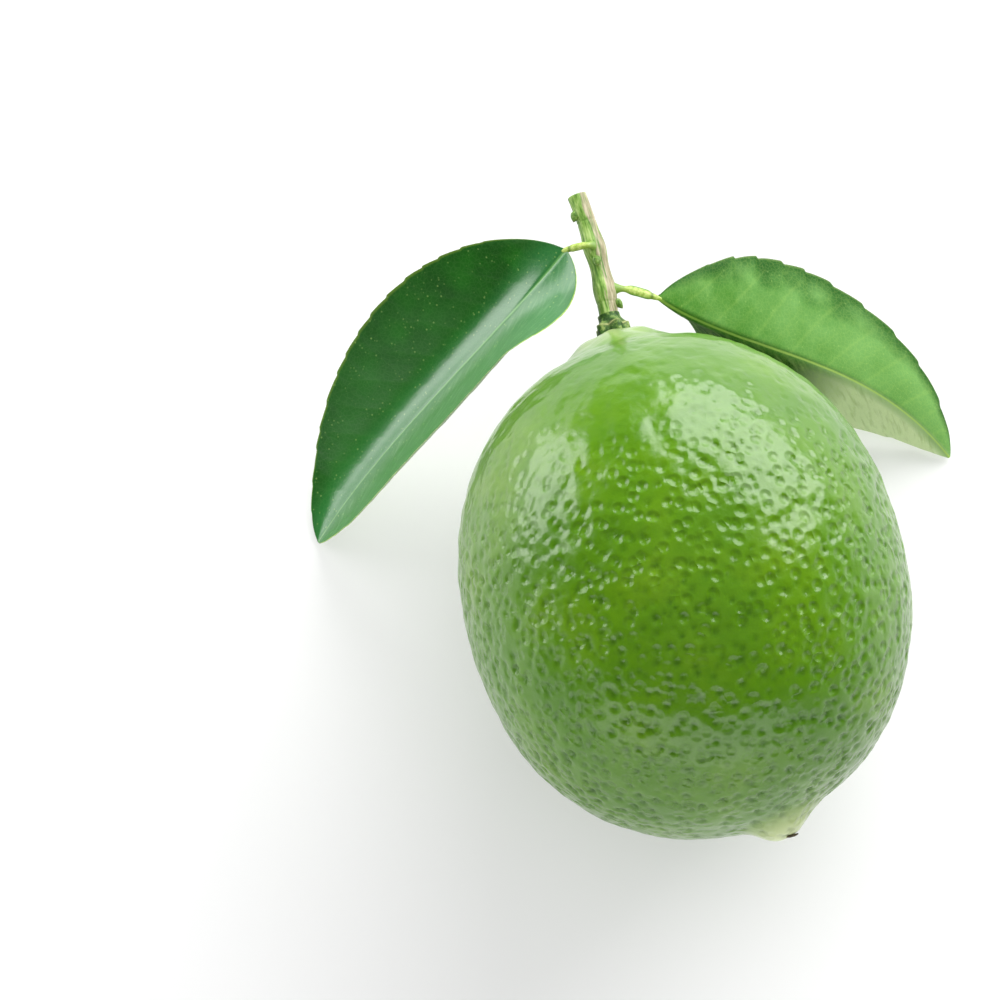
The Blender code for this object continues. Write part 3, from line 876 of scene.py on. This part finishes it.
for side_name, leaf in LEAVES.items():
    joint = twig_centre(leaf["node"])
    joint_out = side_direction(leaf["side"], leaf["stalk_round"])
    joint_radius = twig_radius(leaf["node"])
    stalk_ahead = stalk_direction(leaf)
    stalk_path = (
        joint + joint_out * (STALK_INTO_TWIG * joint_radius),
        joint + joint_out * (joint_radius + STALK_OUT_OF_TWIG),
        stalk_start(leaf) + stalk_ahead * (0.3 * leaf["stalk_length"]),
        blade_start(leaf) + stalk_ahead * STALK_INTO_BLADE,
    )

    def stalk_place(along, turn):
        angle = turn * math.tau
        centre, ahead = curve_point(stalk_path, along)
        across = squared(STEMWARD, ahead)
        over = ahead.cross(across) * -leaf["side"]
        foot = 1.0 - smooth_step(along, 0.1, 0.5)
        half = PETIOLE_WIDTH / 2 * mix(STALK_WAIST, STALK_FOOT, foot * foot)
        half *= 1.0 - 0.25 * smooth_step(along, 0.9, 1.0)
        reach = abs(math.cos(angle)) ** 6
        wing = leaf["stalk_wing"] * reach * smooth_step(along, 0.4, 0.6)
        wing *= 1.0 - smooth_step(along, 0.8, 0.95)
        pinch = SEAM_PINCH * hill(along, SEAM_PLACE, 0.025)
        wide = half * (1.0 + wing - pinch)
        thick = half * (PETIOLE_FLATNESS - pinch) * (1.0 - 0.35 * reach * (wing > 0.0))
        thick -= GROOVE_DEPTH * hill(angle, math.pi / 2, 0.35) * smooth_step(along, 0.3, 0.6)
        point = centre + across * (wide * math.cos(angle)) + over * (thick * math.sin(angle))
        seam_line = hill(along, SEAM_PLACE, 0.02)
        return point, min(wing * 2.2, 1.0) * reach, seam_line, 1.0 - smooth_step(along, 0.25, 0.55)

    stalk_bm = wrap_tube(60, 40, stalk_place, ["flange", "seam", "foot"])
    finish_piece(side_name + "_stalk", stalk_bm, [green_stalk], side_name + "_petiole")

# %% [markdown]
# ## Leaf blades
#
# A blade is about 0.3 mm thick. Its cross-section is a flat loop: over the top from one margin to the
# other, and back underneath. At each station along the midrib the loop is laid out by walking from the
# midrib to each margin, turning as the wing's slope turns. Relief is then added on top of that:
# a fine groove along the midrib with a rib beneath it, side veins that run out and bend forwards,
# a low quilt between them, and a slow wave towards the margin. The margin itself has shallow teeth
# that lean to the tip.

# %% Blade outline
BLADE_ROWS = 230
WALK_STEPS = 42
WALK_CROWDING = 1.3
FOLD_ROOM = 7.0 * MM


def blade_curve(leaf):
    """The four points of the midrib's curve, from the stalk down to the table."""
    start = blade_start(leaf)
    drop = start.z - LEAF_REST
    reach = math.sqrt(leaf["length"] ** 2 - drop**2)
    heading = math.radians(leaf["heading"])
    ahead = Vector((math.cos(heading), math.sin(heading), 0.0))
    away = UP.cross(ahead) * leaf["side"]
    points = [start]
    for along, sideways, height in leaf["bends"]:
        point = start + ahead * (reach * along) + away * (reach * sideways)
        point.z = LEAF_REST + drop * height
        points.append(point)
    tip = start + ahead * reach
    tip.z = LEAF_REST
    return [*points, tip]


def half_width(leaf, share):
    """Width of one wing at a share of the blade's length."""
    bulge = math.sin(math.pi * min(max(share, 0.0), 1.0) ** BLADE_WIDEST)
    end = BLADE_END_HALF_WIDTH * (1.0 - share) + BLADE_TIP_HALF_WIDTH * share
    return max(leaf["half_width"] * max(bulge, 0.0) ** BLADE_FULLNESS, end)


def tooth(leaf, share, wing):
    """How far the margin stands out at this place: it swells towards the tip and then steps back."""
    place = share * leaf["length"] / leaf["tooth_length"] + 0.37 * wing
    place += 0.35 * noise.noise(Vector((place * 0.7, wing * 5.0, 2.0)))
    part = place % 1.0
    swell = part**0.8 * (1.0 - smooth_step(part, 0.86, 1.0))
    toothed = smooth_step(share, 0.08, 0.2)
    return leaf["tooth_depth"] * (swell - 0.5) * toothed * (1.0 - smooth_step(share, 0.93, 0.99))


def blade_row(leaf, curve, share):
    """Points, upward directions and distances from the midrib across the blade at one station."""
    place, along = curve_point(curve, share)
    level = Vector((along.x, along.y, 0.0)).normalized()
    away = UP.cross(level) * leaf["side"]
    lift = squared(UP, along)
    opened = smooth_step(share, *leaf["opening"])
    outer = [mix(a, b, opened) for a, b in zip(*leaf["outer_wing"])]
    inner = [mix(a, b, opened) for a, b in zip(*leaf["inner_wing"])]
    row = {}
    for wing in (-1, 1):
        plain = half_width(leaf, share) * (leaf["outer_share"] if wing > 0 else 1.0)
        tip_out = tooth(leaf, share, wing)
        wide = plain + tip_out
        # Where the blade is narrow, near its base and tip, the fold is squeezed to fit in.
        squeeze = min(1.0, wide / FOLD_ROOM)
        point = place.copy()
        walked = 0.0
        for step in range(WALK_STEPS + 1):
            # Steps are short near the midrib, where the fold and the groove are.
            part = (step / WALK_STEPS) ** WALK_CROWDING
            goal = plain * part + tip_out * part**10
            middle = wing * (walked + goal) / 2
            turned = leaf["fold_rest"] * smooth_step(middle / squeeze, *leaf["fold_in"])
            turned = mix(turned, 1.0, smooth_step(middle / squeeze, *leaf["fold_out"]))
            outer_slope = mix(*outer, max(middle, 0.0) / wide)
            inner_slope = mix(*inner, max(-middle, 0.0) / wide)
            slope = math.radians(mix(-inner_slope, outer_slope, turned))
            tangent = away * math.cos(slope) + lift * math.sin(slope)
            point = point + tangent * (wing * (goal - walked))
            walked = goal
            normal = lift * math.cos(slope) - away * math.sin(slope)
            row[wing * step] = (point, normal, walked, wide)
    return row


# %% Blade relief
BLADE_HALF_THICKNESS = 0.15 * MM
MIDRIB_WIDTH = 0.28 * MM
MIDRIB_GROOVE = 0.10 * MM
# Height of the rib beneath, in millimetres, at the blade's base and at its tip.
MIDRIB_RIB = (0.42, 0.05)
VEIN_WIDTH = 0.2 * MM
VEIN_DEPTH = 0.012 * MM
UNDER_VEIN_HEIGHT = 0.05 * MM
VEIN_WANDER = 0.9 * MM
VEIN_LEAN = 0.62
VEIN_BEND = 9.0
SMALL_VEIN = 0.45
WAVE_LENGTH = 11.0 * MM
RIPPLE_WIDTH = 5.0 * MM
TABLE_SLIP = 0.05 * MM


def vein_pattern(leaf, share, wing, distance, wide):
    """Strength of the side veins here, from 0 to 1, and height of the quilt between them."""
    along = share * leaf["length"]
    part = distance / wide
    place = Vector((along / (13.0 * MM), wing * 4.0, distance / (9.0 * MM)))
    lead = along - VEIN_LEAN * distance - VEIN_BEND * distance * distance
    lead += VEIN_WANDER * noise.noise(place)
    phase = lead / leaf["vein_spacing"] + 0.45 * wing
    near = abs(phase - round(phase)) * leaf["vein_spacing"] * 0.8
    between = abs(phase + 0.5 - round(phase + 0.5)) * leaf["vein_spacing"] * 0.8
    vein = hill(near, 0.0, VEIN_WIDTH) * (1.0 - smooth_step(part, 0.62, 0.95))
    vein += SMALL_VEIN * hill(between, 0.0, VEIN_WIDTH) * (1.0 - smooth_step(part, 0.35, 0.7))
    quilt = math.sin(math.pi * phase) ** 2 * smooth_step(distance, 0.5 * MM, 3.0 * MM)
    quilt *= 1.0 - smooth_step(part, 0.75, 1.0)
    return vein, quilt


def make_blade(side_name, leaf, material):
    curve = blade_curve(leaf)
    rows = {}

    def blade_place(along, turn):
        share = min(max(along, 0.0), 1.0)
        if along not in rows:
            rows[along] = blade_row(leaf, curve, share)
        on_top = turn <= 0.5
        station = turn * 2.0 if on_top else 2.0 - turn * 2.0
        column = round(station * 2 * WALK_STEPS) - WALK_STEPS
        point, normal, distance, wide = rows[along][column]
        wing = 1 if column >= 0 else -1
        margin = distance / wide
        vein, quilt = vein_pattern(leaf, share, wing, distance, wide)
        body = smooth_step(share, 0.02, 0.15) * (1.0 - smooth_step(share, 0.9, 1.0))
        wave_place = Vector((share * leaf["length"] / WAVE_LENGTH, wing * 3.0, 0.7))
        ripple_place = Vector((share * 16.0, wing * distance / RIPPLE_WIDTH, 4.0))
        lift = leaf["quilt"] * (quilt - 0.5) * body
        lift += leaf["wave"] * noise.noise(wave_place) * smooth_step(margin, 0.3, 1.0) * body
        lift += leaf["ripple"] * noise.noise(ripple_place) * body
        thick = BLADE_HALF_THICKNESS * math.sqrt(max(1.0 - margin**10, 0.0)) * mix(1.0, 0.75, margin)
        midrib = hill(distance, 0.0, MIDRIB_WIDTH * mix(1.0, 0.45, share))
        rib = mix(*MIDRIB_RIB, share) * MM * midrib
        point = point + normal * lift
        point.z = max(point.z, TABLE_SLIP + thick + rib)
        if on_top:
            point += normal * (thick - MIDRIB_GROOVE * midrib * (1.0 - share) - VEIN_DEPTH * vein * body)
        else:
            point -= normal * (thick + rib + UNDER_VEIN_HEIGHT * vein * body)
        point.z = max(point.z, 0.0)
        along_mm = share * leaf["length"] / MM
        return point, vein, midrib, margin, float(not on_top), along_mm, wing * distance / MM

    names = ["vein", "midrib", "margin", "under", "along_mm", "across_mm"]
    bm = wrap_tube(BLADE_ROWS, 4 * WALK_STEPS, blade_place, names)
    finish_piece(side_name + "_blade", bm, [material], side_name + "_leaf_blade", crease=75.0)


# %% [markdown]
# ## Leaf finish
#
# A citrus leaf is leathery, with a waxed top that takes soft, broad highlights, and a paler matt
# underside. Pale oil dots a quarter of a millimetre wide are sprinkled through it, about two to the
# square millimetre. Veins and midrib are yellower than the green between them, and the very edge is
# thin enough to look yellow. The pattern is laid out in millimetres along and across the blade, so that
# it follows the leaf as it bends, and across is below 0 on the inner wing.

# %% Leaf patterns, in millimetres
PATCH_SIZE = 6.0
LINE_SPACING = 5.0 / 3.0
NET_CELL = 0.55
DOT_CELL = 0.65
FINE_GRAIN = 0.35
UNDER_ROUGHNESS = 0.75


def leaf_material(name, look):
    """A leaf's finish from its look: colours, and the shares by which they cover each other."""
    material, tree, shader = new_material(name, {
        "IOR": look["IOR"], "Specular IOR Level": look["specular"],
        "Coat Weight": look["coat"], "Coat Roughness": 0.25})
    along, across, margin, vein, midrib, under = [
        add_node(tree, "Attribute", {"attribute_name": value}).outputs["Fac"]
        for value in ("along_mm", "across_mm", "margin", "vein", "midrib", "under")]
    flat = add_node(tree, "CombineXYZ", inputs={0: along, 1: across})
    patches = add_node(tree, "TexNoise", inputs=noise_inputs(flat, PATCH_SIZE))
    # The dark band along the margin has an uneven inner edge.
    band = add_node(tree, "Math", {"operation": "MULTIPLY_ADD"}, {0: patches, 1: -0.6, 2: margin})
    # Fine side veins on the inner wing, as lines that run out and forwards.
    slant = add_node(tree, "Math", {"operation": "MULTIPLY_ADD"}, {0: across, 1: 1.5, 2: along})
    stretched = add_node(tree, "Math", {"operation": "MULTIPLY"}, {0: slant, 1: 1.6})
    line_place = add_node(tree, "CombineXYZ", inputs={0: stretched, 1: across})
    lines = add_node(tree, "TexNoise", inputs=noise_inputs(line_place, LINE_SPACING))
    # A net of tiny cells, and oil dots, one to a cell, each at its own strength.
    net = add_node(
        tree, "TexVoronoi", {"feature": "DISTANCE_TO_EDGE"}, {"Vector": flat, "Scale": 1.0 / NET_CELL})
    net_line = add_node(tree, "MapRange", inputs={0: net, 1: 0.0, 2: 0.12, 3: 1.0, 4: 0.0})
    dots = add_node(tree, "TexVoronoi", inputs={"Vector": flat, "Scale": 1.0 / DOT_CELL})
    dot_mask = add_node(tree, "MapRange", inputs={0: dots, 1: 0.10, 2: 0.24, 3: 1.0, 4: 0.0})
    dot_pick = add_node(tree, "SeparateColor", inputs={0: dots.outputs["Color"]})
    dot_strength = add_node(tree, "MapRange", inputs={0: dot_pick, 1: 0.2, 2: 1.0})
    dot = add_node(tree, "Math", {"operation": "MULTIPLY"}, {0: dot_mask, 1: dot_strength})
    # Mostly the wing next to the fruit shows its thin edge.
    edge = add_node(tree, "MapRange", inputs={0: margin, 1: 0.965, 2: 0.99})
    edge_side = add_node(tree, "MapRange", inputs={0: across, 1: 0.5, 2: -0.5, 3: 0.2, 4: 1.0})
    rim = add_node(tree, "Math", {"operation": "MULTIPLY"}, {0: edge, 1: edge_side})
    # The inner wing's colours are painted light: on the dark leaf a lighter wing with a bluish painted
    # sheen near the stalk, and on the bright leaf painted shade near the stalk that turns into a pale
    # painted sheen further out.
    inner = lay_colours(tree, look["inner_base"], [
        (along, *look["inner_turn"], 1.0, look["inner"]),
        (lines, 0.5, 0.7, look["line_share"], look["line"]),
    ])
    # On the bright leaf the underside near the stalk carries painted shade as well; on the dark leaf it
    # is the paler underside's own colour.
    beneath = lay_colours(tree, look["under_base"], [(along, *look["inner_turn"], 1.0, look["under"])])
    leaf_colour = lay_colours(tree, look["deep"], [
        # On the bright leaf these light patches are painted highlights; on the dark leaf they are a
        # slight change of tone.
        (patches, 0.36, 0.64, 1.0, look["light"]),
        (along, 10.0, 44.0, look["tip_share"], look["tip"]),
        # Painted sheen in a band beside the midrib, along the fold.
        (across, *look["fold_sheen_reach"], look["fold_sheen_share"], look["fold_sheen"]),
        (band, 0.3, 0.65, look["band_share"], look["band"]),
        (across, 0.4, -1.2, look["inner_share"], inner),
        (net_line, 0.0, 1.0, 0.10, look["vein"]),
        (dot, 0.0, 1.0, look["dot_share"], look["dot"]),
        (vein, 0.0, 1.0, look["vein_share"], look["vein"]),
        (midrib, 0.45, 0.9, 0.85, look["vein"]),
        (rim, 0.0, 1.0, 1.0, look["rim"]),
        (under, 0.3, 0.7, 0.85, beneath),
    ])
    top_roughness = add_node(tree, "MapRange", inputs={
        0: across, 1: 0.5, 2: -0.5, 3: look["roughness"], 4: look["inner_roughness"]})
    roughness = add_node(tree, "MapRange", inputs={
        0: under, 1: 0.3, 2: 0.7, 3: top_roughness, 4: UNDER_ROUGHNESS})
    fine = add_node(tree, "TexNoise", inputs=noise_inputs(flat, FINE_GRAIN, 2.0))
    height = add_node(tree, "Math", {"operation": "MULTIPLY_ADD"}, {0: net_line, 1: -0.5, 2: fine})
    bump = add_node(tree, "Bump", inputs={"Strength": 0.6, "Distance": 0.02 * MM, "Height": height})
    set_inputs(shader, {"Base Color": leaf_colour, "Roughness": roughness, "Normal": bump})
    return material


# %% Leaf looks
# Painted light on the dark leaf: the colour beside the midrib is painted sheen on the fold, and the
# inner wing is painted lighter, as where light falls on it, with a bluish painted sheen near the stalk.
dark_leaf = leaf_material("waxy_dark_leaf", {
    "deep": "#0b4d02", "light": "#166207", "tip": "#2a7524", "tip_share": 0.7,
    "fold_sheen": "#2c7a3c", "fold_sheen_share": 0.6, "fold_sheen_reach": (5.0, 2.0), "band": "#0a3f03", "band_share": 0.5,
    "inner_base": "#3a7c42", "inner": "#2b7716", "inner_share": 0.7, "inner_turn": (5.0, 20.0),
    "line": "#8fbf86", "line_share": 0.3, "vein": "#639e50", "vein_share": 0.05,
    "dot": "#9fc56e", "dot_share": 0.45, "rim": "#b4cf4e", "under": "#7f9e5c", "under_base": "#6f9450",
    "roughness": 0.33, "inner_roughness": 0.48, "IOR": 1.47, "specular": 0.5, "coat": 0.6,
})
# Painted light on the bright leaf: the light patches are painted highlights, the colour beside the
# midrib is painted sheen, the inner wing and its underside carry painted shade near the stalk, and the
# inner wing turns into a pale painted sheen further out.
bright_leaf = leaf_material("satin_bright_leaf", {
    "deep": "#347218", "light": "#5e9044", "tip": "#74a35c", "tip_share": 0.6,
    "fold_sheen": "#6da04a", "fold_sheen_share": 0.2, "fold_sheen_reach": (9.0, 4.0), "band": "#144f00", "band_share": 1.0,
    "inner_base": "#27500f", "inner": "#cfdfae", "inner_share": 0.95, "inner_turn": (23.0, 33.0),
    "line": "#93ab6a", "line_share": 0.5, "vein": "#a9c964", "vein_share": 0.10,
    "dot": "#a8c86c", "dot_share": 0.2, "rim": "#a9c07a", "under": "#9fb878", "under_base": "#3c5f24",
    "roughness": 0.46, "inner_roughness": 0.85, "IOR": 1.40, "specular": 0.15, "coat": 0.0,
})
make_blade("left", LEAVES["left"], dark_leaf)
make_blade("right", LEAVES["right"], bright_leaf)

# %% [markdown]
# ## Buds
#
# In the angle of each leaf sits a bud a millimetre long, wrapped in two or three pointed scales, and
# one more sits near the cut end. It is a tapered tube whose surface steps where one scale ends over
# the next. The scales are thin and dry, so they are matt green and turn brown at their edges.

# %% Bud material
bud_scales, tree, shader = new_material("bud_scales", {"Roughness": 0.5, "IOR": 1.42})
where = add_node(tree, "TexCoord").outputs["Object"]
brown = add_node(tree, "Attribute", {"attribute_name": "brown"}).outputs["Fac"]
patches = add_node(tree, "TexNoise", inputs=noise_inputs(where, 0.3 * MM))
ground = add_node(tree, "ValToRGB", inputs={0: patches}, stops=[
    (0.35, "#3f6a1c"), (0.55, "#6a9038"), (0.75, "#a5bd72")])
bud_colour = lay_colours(tree, ground, [(brown, 0.0, 1.0, 1.0, "#6b6a34")])
set_inputs(shader, {"Base Color": bud_colour})

# %% Bud shape
BUD_LENGTH = 1.4 * MM
BUD_DIAMETER = 1.0 * MM
BUD_LEAN = math.radians(25.0)
BUD_SUNK = 0.15
SCALE_COUNT = 3.0
SCALE_STEP = 0.16
BUD_PLACES = {
    "left_bud": (LEFT_NODE, -1, 80.0, True),
    "right_bud": (RIGHT_NODE, 1, 10.0, True),
    "upper_bud": (13.7 * MM, -1, 25.0, False),
}

for bud_name, (distance, side, round_angle, in_axil) in BUD_PLACES.items():
    if in_axil:
        distance -= PETIOLE_WIDTH / 2 * (1.0 + PETIOLE_BASE_SWELLING) + BUD_DIAMETER / 2 + GAP
    bud_out = side_direction(side, round_angle)
    bud_ahead = bud_out * math.sin(BUD_LEAN) - STEMWARD * math.cos(BUD_LEAN)
    bud_root = twig_centre(distance) + bud_out * (twig_radius(distance) - BUD_DIAMETER * BUD_SUNK)
    bud_across = squared(UP, bud_ahead)
    bud_over = bud_ahead.cross(bud_across)

    def bud_place(along, turn):
        angle = turn * math.tau
        wide = math.sin(math.pi * (0.14 + 0.86 * along) ** 0.75) ** 0.8 if along < 0.999 else 0.02
        scale_edge = along * SCALE_COUNT + 0.35 * math.cos(2.0 * angle)
        overlap = 1.0 + SCALE_STEP * (1.0 - scale_edge % 1.0) * (1.0 - along)
        half = BUD_DIAMETER / 2 * wide * overlap
        centre = bud_root + bud_ahead * (BUD_LENGTH * along)
        point = centre + bud_across * (half * math.cos(angle)) + bud_over * (half * math.sin(angle))
        return point, smooth_step(scale_edge % 1.0, 0.7, 1.0) * 0.6 + 0.5 * smooth_step(along, 0.8, 1.0)

    bud_bm = wrap_tube(30, 28, bud_place, ["brown"])
    finish_piece(bud_name + "_scales", bud_bm, [bud_scales], bud_name)
